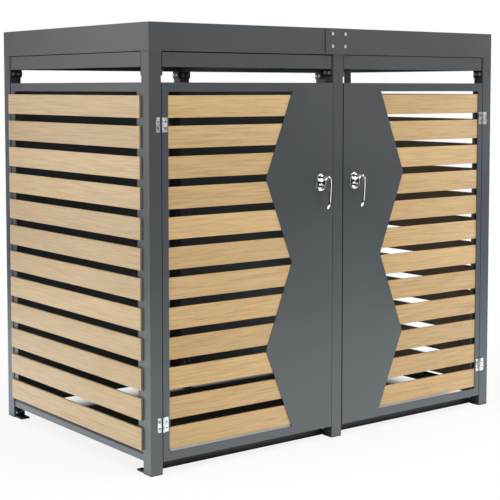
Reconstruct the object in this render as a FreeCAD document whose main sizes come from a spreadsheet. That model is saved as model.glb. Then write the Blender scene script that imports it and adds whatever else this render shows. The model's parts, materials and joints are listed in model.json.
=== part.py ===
import FreeCAD, Part
import math
import os
import re
import Sketcher

# Wheelie bin store for two bins, with a slatted door and a lever lock on each bay.
# The origin is on the ground at the centre of the ground anchor holes.
# +Z is up, the doors face -Y, and +X is to the right of somebody facing the doors.
# Lengths are in millimetres. The count of slats and the zigzag's share have no unit.
# Bolts and screws are heads seated on what they hold. Their shanks are left out.

SIZES = (
    ("width", 1320, "across the outer faces of the corner posts"),
    ("depth", 830, "over the outer faces of the front and back posts"),
    ("height", 1215, "ground to the top of the roof"),
    ("post", 38, "side of a square post"),
    ("post_wall", 2, "wall of a post"),
    ("fascia_height", 76, "depth of the roof's folded edge"),
    ("sheet", 2, "thickness of the folded sheets"),
    ("roof_lip", 30, "inward flange under the roof's edge"),
    ("rail_height", 42, "height of a top rail"),
    ("rail_depth", 34, "thickness of a top rail"),
    ("rail_wall", 2, "wall of a top rail"),
    ("window", 41, "open strip between panels and top rails"),
    ("ground_gap", 35, "clear height under doors and panels"),
    ("plate", 5, "thickness of rail end plates and foot brackets"),
    ("plate_drop", 23, "how far an end plate reaches below its rail"),
    ("plate_margin", 1, "end plate set back from each edge of the post"),
    ("plate_bolt_drop", 11, "end plate bolts below the rail"),
    ("plate_bolt_pitch", 17, "between the two bolts of an end plate"),
    ("hole_slack", 0.3, "radial clearance of a barrel in the door sheet"),
    ("bolt_head_radius", 5.5, "hexagon head, to its corners"),
    ("bolt_head_height", 4, "height of a hexagon head"),
    ("foot_width", 30, "foot bracket along the front"),
    ("foot_reach", 40, "ground leg of a foot bracket"),
    ("foot_rise", 28, "upright leg of a foot bracket"),
    ("foot_bolt_height", 16, "foot bolts above the ground"),
    ("foot_bolt_pitch", 18, "between the two bolts of a foot"),
    ("anchor_radius", 5, "ground anchor hole"),
    ("anchor_inset", 22, "anchor hole from the post's inner face"),
    ("sill_height", 20, "upright leg of a front sill"),
    ("sill_reach", 30, "ground leg of a front sill"),
    ("sill_inset", 8, "sill behind the posts' inner faces"),
    ("slat_count", 12, "slats in one door or side panel"),
    ("slat_height", 60, "height of a slat"),
    ("slat_thick", 9, "thickness of a door slat"),
    ("slat_drop", 34.5, "first slat below the panel's top edge"),
    ("slat_rise", 30, "last slat above the panel's bottom edge"),
    ("slat_proud", 6.5, "side slats past the posts' outer faces"),
    ("slat_end_gap", 0.5, "side slat end to the post"),
    ("side_flange", 27, "upright flange of a side frame"),
    ("side_wall", 3, "thickness of a side frame"),
    ("side_frame_depth", 35.5, "side frame across its thickness"),
    ("border", 25, "top and bottom border of doors and side frames"),
    ("panel_bolt_rise", 59, "panel bolts from the panel's ends"),
    ("back_inset", 2, "back panel behind the posts' outer faces"),
    ("door_gap", 2, "between a door's edge and its post"),
    ("door_stile", 20, "hinge side border of a door"),
    ("door_zigzag_near", 173, "zigzag points nearest the middle"),
    ("door_zigzag_far", 268, "zigzag points farthest from the middle"),
    ("zigzag_share", 0.2533, "height of a zigzag leg as a share of the opening's height"),
    ("door_slat_end", 140, "inner ends of the door slats from the middle"),
    ("batten_width", 20, "clamp batten behind the door slats"),
    ("batten_thick", 3, "thickness of a clamp batten"),
    ("batten_inset", 8, "hinge side batten from the door's return"),
    ("hinge_drop", 112, "middle of an upper hinge below the door's top"),
    ("hinge_rise", 102, "middle of a lower hinge above the door's bottom"),
    ("hinge_height", 40, "height of a hinge"),
    ("hinge_reach", 17.5, "from the pin to a leaf's edge"),
    ("leaf", 2, "thickness of a hinge leaf"),
    ("knuckle_radius", 4, "hinge knuckle"),
    ("knuckle_gap", 0.4, "between knuckles, and knuckle to far leaf"),
    ("pin_radius", 2, "hinge pin"),
    ("pin_slack", 0.05, "radial clearance round a hinge pin"),
    ("handle_across", 66, "lock from the middle of the store"),
    ("lever_height", 780, "lever's turning axis above the ground"),
    ("key_drop", 27, "key below the lever's axis"),
    ("rose_width", 37, "width of the lock's oval rose"),
    ("rose_height", 50, "height of the lock's oval rose"),
    ("rose_thick", 9, "thickness of the rose"),
    ("barrel_radius", 7.5, "lock barrel"),
    ("barrel_bore", 5, "bore of the lock barrel"),
    ("barrel_proud", 2, "barrel in front of the rose"),
    ("barrel_back", 18, "barrel behind the door sheet"),
    ("turn_slack", 0.05, "radial clearance of parts that turn"),
    ("air", 0.3, "clearance between faces that pass"),
    ("key_slot", 1.6, "width of the key slot"),
    ("key_slot_length", 6.4, "length of the key slot"),
    ("key_slot_deep", 6, "depth of the key slot"),
    ("spindle_side", 7, "side of the lever's square spindle"),
    ("spindle_hole", 6, "hole in the door sheet round the spindle"),
    ("spindle_end", 1.5, "spindle past the cam"),
    ("boss_radius", 9.5, "round boss of the lever"),
    ("boss_length", 15, "boss in front of the rose"),
    ("boss_cap", 4, "boss in front of the spindle's end"),
    ("grip_width", 11, "bar of the lever, seen from the front"),
    ("grip_thick", 7, "bar of the lever, seen from the side"),
    ("grip_shift", 5, "bar to the right of the turning axis"),
    ("grip_out", 41, "bar's centre line in front of the door"),
    ("grip_bend", 14, "radius of the lever's bend"),
    ("grip_drop", 78, "axis to the end of the straight grip"),
    ("grip_curl", 10, "radius of the curl at the grip's end"),
    ("cam_reach", 56, "lever's axis to the cam's tip"),
    ("cam_width", 16, "width of the cam"),
    ("cam_thick", 4, "thickness of the cam"),
    ("cam_tail", 10, "cam past the axis, away from its tip"),
    ("cam_corner", 4, "cut corners of the cam's tip"),
    ("cam_air", 0.6, "between the door's back edge and the cam"),
    ("joint_width", 102, "cover plate over the roof's joint"),
    ("joint_thick", 3, "thickness of that cover plate"),
    ("joint_screw_pitch", 49, "its screws across the joint"),
    ("joint_screw_rise", 24, "lower screws above the fascia's edge"),
    ("joint_screw_top", 16, "upper screws below the roof's top"),
    ("screw_head_radius", 5, "hexagon head of a joint screw, to its corners"),
    ("screw_head_height", 2.5, "height of that head"),
    ("stop_across", 60, "door stop's near edge from the middle"),
    ("stop_width", 25, "width of the door stop"),
    ("stop_thick", 3, "thickness of the door stop"),
    ("stop_drop", 57, "door stop below the top rail"),
    ("stop_seat", 22, "welded foot of the door stop"),
    ("stop_air", 0.5, "closed door to the door stop"),
    ("tie_width", 52, "plate that ties the back panels together"),
    ("tie_height", 26, "height of that plate"),
    ("tie_middle", 94, "middle of that plate above the ground"),
    ("tie_thick", 4, "thickness of that plate"),
)
NAMES = {name for name, number, note in SIZES}

HALF_WIDTH = "(width / 2)"
HALF_DEPTH = "(depth / 2)"
INNER_X = "(width / 2 - post)"
INNER_Y = "(depth / 2 - post)"
POST_X = "(width / 2 - post / 2)"
POST_Y = "(depth / 2 - post / 2)"
MID_X = "(post / 2)"
POST_TOP = "(height - fascia_height)"
RAIL_LOW = "(height - fascia_height - rail_height)"
PANEL_TOP = "(height - fascia_height - rail_height - window)"
PLATE_BOLT = "(height - fascia_height - rail_height - plate_bolt_drop)"
SLAT_PITCH = "(%s - ground_gap - slat_drop - slat_rise - slat_height) / (slat_count - 1)" % PANEL_TOP
PANEL_BOLTS = ("(ground_gap + panel_bolt_rise)", PANEL_TOP + " - panel_bolt_rise")
DOOR_HINGE_EDGE = "(width / 2 - post - door_gap)"
DOOR_MID_EDGE = "(post / 2 + door_gap)"
PIN_X = "(width / 2 - post - door_gap / 4)"
PIN_Y = "(depth / 2 + knuckle_radius)"
SLAT_FRONT = "(depth / 2 - sheet)"
SLAT_BACK = "(depth / 2 - sheet - slat_thick)"
CAM_FRONT = "(depth / 2 - post - cam_air)"
ROSE_FRONT = "(depth / 2 + rose_thick)"
SPINDLE_CORNER = "(spindle_side * 0.70711)"

doc = FreeCAD.newDocument("BinStore")
sheet = doc.addObject("Spreadsheet::Sheet", "Sizes")
for row, (name, number, note) in enumerate(SIZES, start=1):
    sheet.set("A%d" % row, note)
    sheet.set("B%d" % row, str(number))
    sheet.setAlias("B%d" % row, name)
doc.recompute()

PIECES = []
CUTS = []


def sized(text):
    """The expression with every size name pointing at the sheet."""

    def point(match):
        word = match.group(0)
        return "Sizes." + word if word in NAMES else word

    return re.sub(r"[a-z][a-z_]*", point, text)


def value(text):
    """The number that an expression has now."""
    number = sheet.evalExpression(sized(text))
    return float(getattr(number, "Value", number))


def new_body(label):
    body = doc.addObject("PartDesign::Body", label)
    body.Label = label
    body.AllowCompound = True
    PIECES.append(body)
    return body


def sketch_on(body, plane, level):
    """A sketch parallel to an origin plane, at a level along its axis."""
    sketch = body.newObject("Sketcher::SketchObject", body.Label + "_sketch")
    support = [item for item in body.Origin.OriginFeatures if item.Role == plane][0]
    sketch.AttachmentSupport = (support, [""])
    sketch.MapMode = "FlatFace"
    sign = "-1" if plane == "XZ_Plane" else "1"
    sketch.setExpression("AttachmentOffset.Base.z", sized("%s * (%s)" % (sign, level)))
    return sketch


def place_points(sketch, points):
    """Ties sketch points, given as (curve, end, across, up), to their expressions."""
    first = sketch.ConstraintCount
    rules = []
    for curve, end, across, up in points:
        rules.append(Sketcher.Constraint("DistanceX", -1, 1, curve, end, value(across)))
        rules.append(Sketcher.Constraint("DistanceY", -1, 1, curve, end, value(up)))
    sketch.addConstraint(rules)
    for number, (curve, end, across, up) in enumerate(points):
        sketch.setExpression("Constraints[%d]" % (first + 2 * number), sized(across))
        sketch.setExpression("Constraints[%d]" % (first + 2 * number + 1), sized(up))


def draw_polygon(sketch, corners):
    spots = [FreeCAD.Vector(value(across), value(up), 0) for across, up in corners]
    count = len(spots)
    first = sketch.GeometryCount
    lines = [Part.LineSegment(spots[k], spots[(k + 1) % count]) for k in range(count)]
    sketch.addGeometry(lines, False)
    joins = [
        Sketcher.Constraint("Coincident", first + k, 2, first + (k + 1) % count, 1)
        for k in range(count)
    ]
    sketch.addConstraint(joins)
    place_points(sketch, [(first + k, 1, *corners[k]) for k in range(count)])


def draw_circle(sketch, across, up, radius):
    number = sketch.GeometryCount
    centre = FreeCAD.Vector(value(across), value(up), 0)
    circle = Part.Circle(centre, FreeCAD.Vector(0, 0, 1), value(radius))
    sketch.addGeometry(circle, False)
    place_points(sketch, [(number, 3, across, up)])
    rule = sketch.ConstraintCount
    sketch.addConstraint(Sketcher.Constraint("Radius", number, value(radius)))
    sketch.setExpression("Constraints[%d]" % rule, sized(radius))


def draw(sketch, shapes):
    for shape in shapes:
        if isinstance(shape[0], str):
            draw_circle(sketch, *shape)
        else:
            draw_polygon(sketch, shape)


def rect(left, low, right, high):
    return [(left, low), (right, low), (right, high), (left, high)]


def hexagon(across, up, radius):
    corners = []
    for step in range(6):
        angle = math.radians(60 * step)
        corners.append(
            (
                "%s + %s * %.6f" % (across, radius, math.cos(angle)),
                "%s + %s * %.6f" % (up, radius, math.sin(angle)),
            )
        )
    return corners


def prism(body, plane, low, high, shapes, cut=False):
    """Adds or cuts the shapes from one level to a higher one along the plane's axis."""
    sketch = sketch_on(body, plane, low)
    draw(sketch, shapes)
    kind = "PartDesign::Pocket" if cut else "PartDesign::Pad"
    before = body.Tip
    made = body.newObject(kind, body.Label + ("_cut" if cut else "_pad"))
    made.Profile = sketch
    made.setExpression("Length", sized("(%s) - (%s)" % (high, low)))
    made.Reversed = (plane == "XZ_Plane") != cut
    if cut:
        CUTS.append((before, made))
    return made


def side(sign, text):
    """An expression on the left (-1) or right (1), or front (-1) or back (1)."""
    return "%d * (%s)" % (sign, text)


def span(sign, near, far):
    """The two expressions in rising order, for distances from the middle."""
    if sign > 0:
        return near, far
    return side(-1, far), side(-1, near)


# Posts
def pair(middle, pitch, up):
    """Two bolt centres side by side."""
    return [("%s - %s / 2" % (middle, pitch), up), ("%s + %s / 2" % (middle, pitch), up)]


def make_post(label, across, along):
    """A square tube. across is -1, 0 or 1 and along is -1 (front) or 1 (back)."""
    middle_x = side(across, POST_X)
    middle_y = side(along, POST_Y)
    tube = []
    for half in ("post / 2", "(post / 2 - post_wall)"):
        tube.append(rect("%s - %s" % (middle_x, half), "%s - %s" % (middle_y, half),
                         "%s + %s" % (middle_x, half), "%s + %s" % (middle_y, half)))
    prism(new_body(label), "XY_Plane", "0", POST_TOP, tube)


SIDE_BOLT_X = "(width / 2 - post + side_frame_depth / 2 - side_wall / 2)"
BACK_BOLT_Y = "(depth / 2 - back_inset - rail_depth / 2)"

for along, row in ((-1, "front"), (1, "back")):
    for across, place in ((-1, "left"), (0, "mid"), (1, "right")):
        make_post("post_%s_%s" % (row, place), across, along)


# Top rails and the plates at their ends
def tube_section(middle):
    outer = rect("%s - rail_depth / 2" % middle, RAIL_LOW,
                 "%s + rail_depth / 2" % middle, POST_TOP)
    inner = rect("%s - rail_depth / 2 + rail_wall" % middle, RAIL_LOW + " + rail_wall",
                 "%s + rail_depth / 2 - rail_wall" % middle, POST_TOP + " - rail_wall")
    return [outer, inner]


for along, row in ((-1, "front"), (1, "back")):
    for across, place in ((-1, "left"), (1, "right")):
        low, high = span(across, MID_X + " + plate", INNER_X + " - plate")
        prism(new_body("top_rail_%s_%s" % (row, place)), "YZ_Plane", low, high,
              tube_section(side(along, POST_Y)))
for across, place in ((-1, "side_left"), (0, "mid"), (1, "side_right")):
    prism(new_body("top_rail_" + place), "XZ_Plane", side(-1, INNER_Y + " - plate"),
          INNER_Y + " - plate", tube_section(side(across, POST_X)))

plates = new_body("rail_end_plates")
shapes = []
for along in (-1, 1):
    front, back = span(along, INNER_Y + " + plate_margin", HALF_DEPTH + " - plate_margin")
    for across in (-1, 1):
        for inside, outside in ((MID_X, MID_X + " + plate"), (INNER_X + " - plate", INNER_X)):
            left, right = span(across, inside, outside)
            shapes.append(rect(left, front, right, back))
    front, back = span(along, INNER_Y + " - plate", INNER_Y)
    for across in (-1, 0, 1):
        middle = side(across, POST_X)
        shapes.append(rect("%s - post / 2 + plate_margin" % middle, front,
                           "%s + post / 2 - plate_margin" % middle, back))
prism(plates, "XY_Plane", RAIL_LOW + " - plate_drop", POST_TOP, shapes)


def add_heads(body, plane, face, facing, centres, radius="bolt_head_radius",
              height="bolt_head_height"):
    """Hexagon heads that sit on a face that looks along +axis or -axis."""
    heads = [hexagon(across, up, radius) for across, up in centres]
    if facing > 0:
        prism(body, plane, face, face + " + " + height, heads)
    else:
        prism(body, plane, face + " - " + height, face, heads)


bolts = new_body("rail_end_bolts")
centres = pair(side(-1, POST_Y), "plate_bolt_pitch", PLATE_BOLT)
centres += pair(POST_Y, "plate_bolt_pitch", PLATE_BOLT)
for face, facing in ((side(-1, INNER_X + " - plate"), 1), (side(-1, MID_X + " + plate"), -1),
                     (MID_X + " + plate", 1), (INNER_X + " - plate", -1)):
    add_heads(bolts, "YZ_Plane", face, facing, centres)
centres = []
for across in (-1, 0, 1):
    centres += pair(side(across, POST_X), "plate_bolt_pitch", PLATE_BOLT)
for face, facing in ((side(-1, INNER_Y + " - plate"), 1), (INNER_Y + " - plate", -1)):
    add_heads(bolts, "XZ_Plane", face, facing, centres)


# Roof in two folded halves, with a cover plate on the front and back of the joint
JOINT_SCREWS = []
for up in (POST_TOP + " + joint_screw_rise", "height - joint_screw_top"):
    JOINT_SCREWS += [("-1 * joint_screw_pitch / 2", up), ("joint_screw_pitch / 2", up)]

for across, place in ((-1, "left"), (1, "right")):
    roof = new_body("roof_" + place)
    ends = ("0", HALF_WIDTH)
    left, right = span(across, *ends)
    prism(roof, "XY_Plane", POST_TOP, "height",
          [rect(left, side(-1, HALF_DEPTH), right, HALF_DEPTH)])
    left, right = span(across, "sheet", HALF_WIDTH + " - sheet")
    prism(roof, "XY_Plane", POST_TOP + " + sheet", "height - sheet",
          [rect(left, side(-1, HALF_DEPTH + " - sheet"), right, HALF_DEPTH + " - sheet")],
          cut=True)
    left, right = span(across, "sheet", HALF_WIDTH + " - roof_lip")
    prism(roof, "XY_Plane", POST_TOP + " - 1", POST_TOP + " + 2 * sheet",
          [rect(left, side(-1, HALF_DEPTH + " - roof_lip"), right, HALF_DEPTH + " - roof_lip")],
          cut=True)

joint_screws = new_body("roof_joint_screws")
for along, row in ((-1, "front"), (1, "back")):
    cover = new_body("roof_joint_plate_" + row)
    low, high = span(along, HALF_DEPTH, HALF_DEPTH + " + joint_thick")
    prism(cover, "XZ_Plane", low, high,
          [rect("-1 * joint_width / 2", POST_TOP, "joint_width / 2", "height")])
    add_heads(joint_screws, "XZ_Plane", side(along, HALF_DEPTH + " + joint_thick"), along,
              JOINT_SCREWS, "screw_head_radius", "screw_head_height")


# Closed back panels, tied together low down on the middle post
BACK_OUT = "(depth / 2 - back_inset)"
BACK_IN = "(depth / 2 - back_inset - rail_depth)"
panel_bolts = new_body("panel_bolts")
for across, place in ((-1, "left"), (1, "right")):
    panel = new_body("back_panel_" + place)
    left, right = span(across, MID_X, INNER_X)
    prism(panel, "XZ_Plane", BACK_IN, BACK_OUT, [rect(left, "ground_gap", right, PANEL_TOP)])
    left, right = span(across, MID_X + " + sheet", INNER_X + " - sheet")
    prism(panel, "XZ_Plane", BACK_IN, BACK_OUT + " - sheet",
          [rect(left, "ground_gap + sheet", right, PANEL_TOP + " - sheet")], cut=True)
    centres = [(BACK_BOLT_Y, up) for up in PANEL_BOLTS]
    add_heads(panel_bolts, "YZ_Plane", side(across, MID_X + " + sheet"), across, centres)
    add_heads(panel_bolts, "YZ_Plane", side(across, INNER_X + " - sheet"), -across, centres)

tie = new_body("back_tie_plate")
prism(tie, "XZ_Plane", INNER_Y + " - tie_thick", INNER_Y,
      [rect("-1 * tie_width / 2", "tie_middle - tie_height / 2",
            "tie_width / 2", "tie_middle + tie_height / 2")])
add_heads(panel_bolts, "XZ_Plane", INNER_Y + " - tie_thick", -1,
          pair("0", "foot_bolt_pitch", "tie_middle"))


# Slatted side panels: an angle frame with the slats on its outer face
def add_slats(body, plane, low, high, left, right):
    """One slat, repeated downwards."""
    top = PANEL_TOP + " - slat_drop"
    first = prism(body, plane, low, high, [rect(left, top + " - slat_height", right, top)])
    row = body.newObject("PartDesign::LinearPattern", body.Label + "_row")
    row.Originals = [first]
    axis = [item for item in body.Origin.OriginFeatures if item.Role == "Z_Axis"][0]
    row.Direction = (axis, [""])
    row.Reversed = True
    row.Mode = "Spacing"
    row.setExpression("Offset", sized(SLAT_PITCH))
    row.setExpression("Occurrences", sized("slat_count"))
    body.Tip = row


SIDE_IN = INNER_X
SIDE_OUT = "(width / 2 - post + side_frame_depth)"
for across, place in ((-1, "left"), (1, "right")):
    frame = new_body("side_frame_" + place)
    low, high = span(across, SIDE_IN, SIDE_OUT)
    prism(frame, "YZ_Plane", low, high,
          [rect(side(-1, INNER_Y), "ground_gap", INNER_Y, PANEL_TOP)])
    low, high = span(across, SIDE_IN, SIDE_OUT + " - side_wall")
    prism(frame, "YZ_Plane", low, high,
          [rect(side(-1, INNER_Y + " - side_wall"), "ground_gap + side_wall",
                INNER_Y + " - side_wall", PANEL_TOP + " - side_wall")], cut=True)
    low, high = span(across, SIDE_IN, SIDE_OUT)
    prism(frame, "YZ_Plane", low, high,
          [rect(side(-1, INNER_Y + " - side_flange"), "ground_gap + border",
                INNER_Y + " - side_flange", PANEL_TOP + " - border")], cut=True)
    centres = [(side(across, SIDE_BOLT_X), up) for up in PANEL_BOLTS]
    for along in (-1, 1):
        add_heads(panel_bolts, "XZ_Plane", side(along, INNER_Y + " - side_wall"), -along, centres)
    slats = new_body("side_slats_" + place)
    low, high = span(across, SIDE_OUT, HALF_WIDTH + " + slat_proud")
    add_slats(slats, "YZ_Plane", low, high, side(-1, INNER_Y + " - slat_end_gap"),
              INNER_Y + " - slat_end_gap")


# Feet, front sills and the door stop
feet = new_body("foot_brackets")
foot_bolts = new_body("foot_bolts")
for across in (-1, 0, 1):
    shapes = []
    for along in (-1, 1):
        inner = side(along, INNER_Y)
        upright = side(along, INNER_Y + " - plate")
        tip = side(along, INNER_Y + " - foot_reach")
        shapes.append([(inner, "0"), (tip, "0"), (tip, "plate"), (upright, "plate"),
                       (upright, "foot_rise"), (inner, "foot_rise")])
    middle = side(across, POST_X)
    prism(feet, "YZ_Plane", middle + " - foot_width / 2", middle + " + foot_width / 2", shapes)
centres = []
for across in (-1, 0, 1):
    centres += pair(side(across, POST_X), "foot_bolt_pitch", "foot_bolt_height")
anchors = []
for across in (-1, 0, 1):
    for along in (-1, 1):
        anchors.append((side(across, POST_X), side(along, INNER_Y + " - anchor_inset"),
                        "anchor_radius"))
prism(feet, "XY_Plane", "-1", "plate + 1", anchors, cut=True)
for along in (-1, 1):
    add_heads(foot_bolts, "XZ_Plane", side(along, INNER_Y + " - plate"), -along, centres)

for across, place in ((-1, "left"), (1, "right")):
    sill = new_body("sill_" + place)
    low, high = span(across, "foot_width / 2", POST_X + " - foot_width / 2")
    face = side(-1, INNER_Y + " - sill_inset")
    prism(sill, "YZ_Plane", low, high,
          [[(face, "0"), (face + " + sill_reach", "0"), (face + " + sill_reach", "sheet"),
            (face + " + sheet", "sheet"), (face + " + sheet", "sill_height"),
            (face, "sill_height")]])

stop = new_body("door_stop")
stop_front = "-1 * (depth / 2 - post - stop_air)"
prism(stop, "YZ_Plane", "stop_across", "stop_across + stop_width",
      [[(stop_front + " - stop_seat", RAIL_LOW), (stop_front + " - stop_seat",
                                                  RAIL_LOW + " - stop_thick"),
        (stop_front, RAIL_LOW + " - stop_thick"), (stop_front, RAIL_LOW + " - stop_drop"),
        (stop_front + " + stop_thick", RAIL_LOW + " - stop_drop"),
        (stop_front + " + stop_thick", RAIL_LOW)]])


# Butt hinges: the leaves, their knuckles and the pins
HINGES = ("(ground_gap + hinge_rise)", "(%s - hinge_drop)" % PANEL_TOP)


def knuckle_levels(middle, first, last):
    """Bottom and top of one of three knuckles, or of a run of them."""
    base = "(%s - hinge_height / 2 + hinge_height * %d / 3 + knuckle_gap / 2)"
    roof = "(%s - hinge_height / 2 + hinge_height * %d / 3 - knuckle_gap / 2)"
    return base % (middle, first), roof % (middle, last + 1)


def make_leaves(body, across, toward, knuckles):
    """Hinge leaves. toward is 1 for the post's side of the pin and -1 for the door's."""
    pin = side(across, PIN_X)
    pin_y = side(-1, PIN_Y)
    face = side(-1, HALF_DEPTH)
    sign = across * toward
    bare = "%s + %s" % (pin, side(sign, "knuckle_radius + knuckle_gap"))
    edge = "%s + %s" % (pin, side(sign, "hinge_reach"))
    for middle in HINGES:
        low, high = knuckle_levels(middle, 0, 2)
        prism(body, "XY_Plane", low, high, [rect(bare, face + " - leaf", edge, face)])
        for number in knuckles:
            low, high = knuckle_levels(middle, number, number)
            prism(body, "XY_Plane", low, high, [(pin, pin_y, "knuckle_radius")])
            prism(body, "XY_Plane", low, high, [rect(pin, face + " - leaf", bare, face)])
    prism(body, "XY_Plane", "0", "height", [(pin, pin_y, "pin_radius + pin_slack")], cut=True)


pins = new_body("hinge_pins")
for across, place in ((-1, "left"), (1, "right")):
    make_leaves(new_body("hinge_post_leaves_" + place), across, 1, (0, 2))
spots = [(side(across, PIN_X), side(-1, PIN_Y)) for across in (-1, 1)]
for middle in HINGES:
    low, high = knuckle_levels(middle, 0, 2)
    prism(pins, "XY_Plane", low, high, [(x, y, "pin_radius") for x, y in spots])


# Doors: a folded face sheet with a zigzag opening, slats and battens behind it
def make_door(place, across):
    face = new_body(place + "_door_face")
    front = side(-1, HALF_DEPTH)
    back = side(-1, INNER_Y)
    hinge_edge = side(across, DOOR_HINGE_EDGE)
    mid_edge = side(across, DOOR_MID_EDGE)
    prism(face, "XZ_Plane", front, back, [rect(mid_edge, "ground_gap", hinge_edge, PANEL_TOP)])
    prism(face, "XZ_Plane", front + " + sheet", back,
          [rect(side(across, DOOR_MID_EDGE + " + sheet"), "ground_gap + sheet",
                side(across, DOOR_HINGE_EDGE + " - sheet"), PANEL_TOP + " - sheet")], cut=True)
    top = PANEL_TOP + " - border"
    low = "ground_gap + border"
    stile = side(across, DOOR_HINGE_EDGE + " - door_stile")
    near = side(across, "door_zigzag_near")
    far = side(across, "door_zigzag_far")
    leg = "zigzag_share * (%s - %s)" % (top, "(%s)" % low)
    opening = [(stile, low), (stile, top), (near, top), (far, top + " - " + leg),
               (near, top + " - 2 * " + leg), (far, top + " - 3 * " + leg), (near, low)]
    prism(face, "XZ_Plane", front + " - 1", front + " + 2 * sheet", [opening], cut=True)
    lock_x = side(across, "handle_across")
    holes = [(lock_x, "lever_height", "spindle_hole"),
             (lock_x, "lever_height - key_drop", "barrel_radius + hole_slack")]
    prism(face, "XZ_Plane", front + " - 1", front + " + 2 * sheet", holes, cut=True)

    slats = new_body(place + "_door_slats")
    slat_front = side(-1, SLAT_FRONT)
    slat_back = side(-1, SLAT_BACK)
    add_slats(slats, "XZ_Plane", slat_front, slat_back, side(across, "door_slat_end"),
              side(across, DOOR_HINGE_EDGE + " - sheet - 1"))

    battens = new_body(place + "_door_battens")
    shapes = []
    for edge in (DOOR_HINGE_EDGE + " - sheet - batten_inset - batten_width",
                 "door_slat_end + batten_inset"):
        shapes.append(rect(side(across, edge), "ground_gap + sheet",
                           side(across, edge + " + batten_width"), PANEL_TOP + " - sheet"))
    prism(battens, "XZ_Plane", slat_back, slat_back + " + batten_thick", shapes)

    make_leaves(new_body(place + "_hinge_leaves"), across, -1, (1,))


# Locks: a rose with a key barrel, and a lever that turns a cam behind the door
def oval(body, low, high, lock_x):
    """A slot shape standing upright, made of two rounds and the block between them."""
    radius = "(rose_width / 2)"
    middle = "lever_height - key_drop / 2"
    rise = "(rose_height - rose_width) / 2"
    for sign in ("-", "+"):
        prism(body, "XZ_Plane", low, high, [(lock_x, "%s %s %s" % (middle, sign, rise), radius)])
    prism(body, "XZ_Plane", low, high,
          [rect("%s - %s" % (lock_x, radius), "%s - %s" % (middle, rise),
                "%s + %s" % (lock_x, radius), "%s + %s" % (middle, rise))])


def draw_bar_path(sketch):
    """The lever's centre line: out from the door, round a bend, down, and a curl back."""
    out = value("depth / 2 + grip_out")
    axis = value("lever_height")
    start = value(ROSE_FRONT + " + air + boss_length / 2")
    bend = value("grip_bend")
    curl = value("grip_curl")
    drop = value("grip_drop")
    up = FreeCAD.Vector(0, 0, 1)
    bend_centre = FreeCAD.Vector(-(out - bend), axis - bend, 0)
    curl_centre = FreeCAD.Vector(-(out - curl), axis - drop, 0)
    sketch.addGeometry([
        Part.LineSegment(FreeCAD.Vector(-start, axis, 0), FreeCAD.Vector(-(out - bend), axis, 0)),
        Part.ArcOfCircle(Part.Circle(bend_centre, up, bend), math.pi / 2, math.pi),
        Part.LineSegment(FreeCAD.Vector(-out, axis - bend, 0), FreeCAD.Vector(-out, axis - drop, 0)),
        Part.ArcOfCircle(Part.Circle(curl_centre, up, curl), math.pi, 1.4 * math.pi),
    ], False)
    place_points(sketch, [
        (0, 1, "-1 * (" + ROSE_FRONT + " + air + boss_length / 2)", "lever_height"),
        (0, 2, "-1 * (depth / 2 + grip_out - grip_bend)", "lever_height"),
        (2, 1, "-1 * (depth / 2 + grip_out)", "lever_height - grip_bend"),
        (2, 2, "-1 * (depth / 2 + grip_out)", "lever_height - grip_drop"),
        (3, 3, "-1 * (depth / 2 + grip_out - grip_curl)", "lever_height - grip_drop"),
    ])
    sketch.addConstraint([
        Sketcher.Constraint("Coincident", 1, 1, 0, 2),
        Sketcher.Constraint("Coincident", 1, 2, 2, 1),
        Sketcher.Constraint("Coincident", 3, 1, 2, 2),
        Sketcher.Constraint("Vertical", 0, 2, 1, 3),
        Sketcher.Constraint("Angle", 3, math.radians(72)),
    ])


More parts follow.
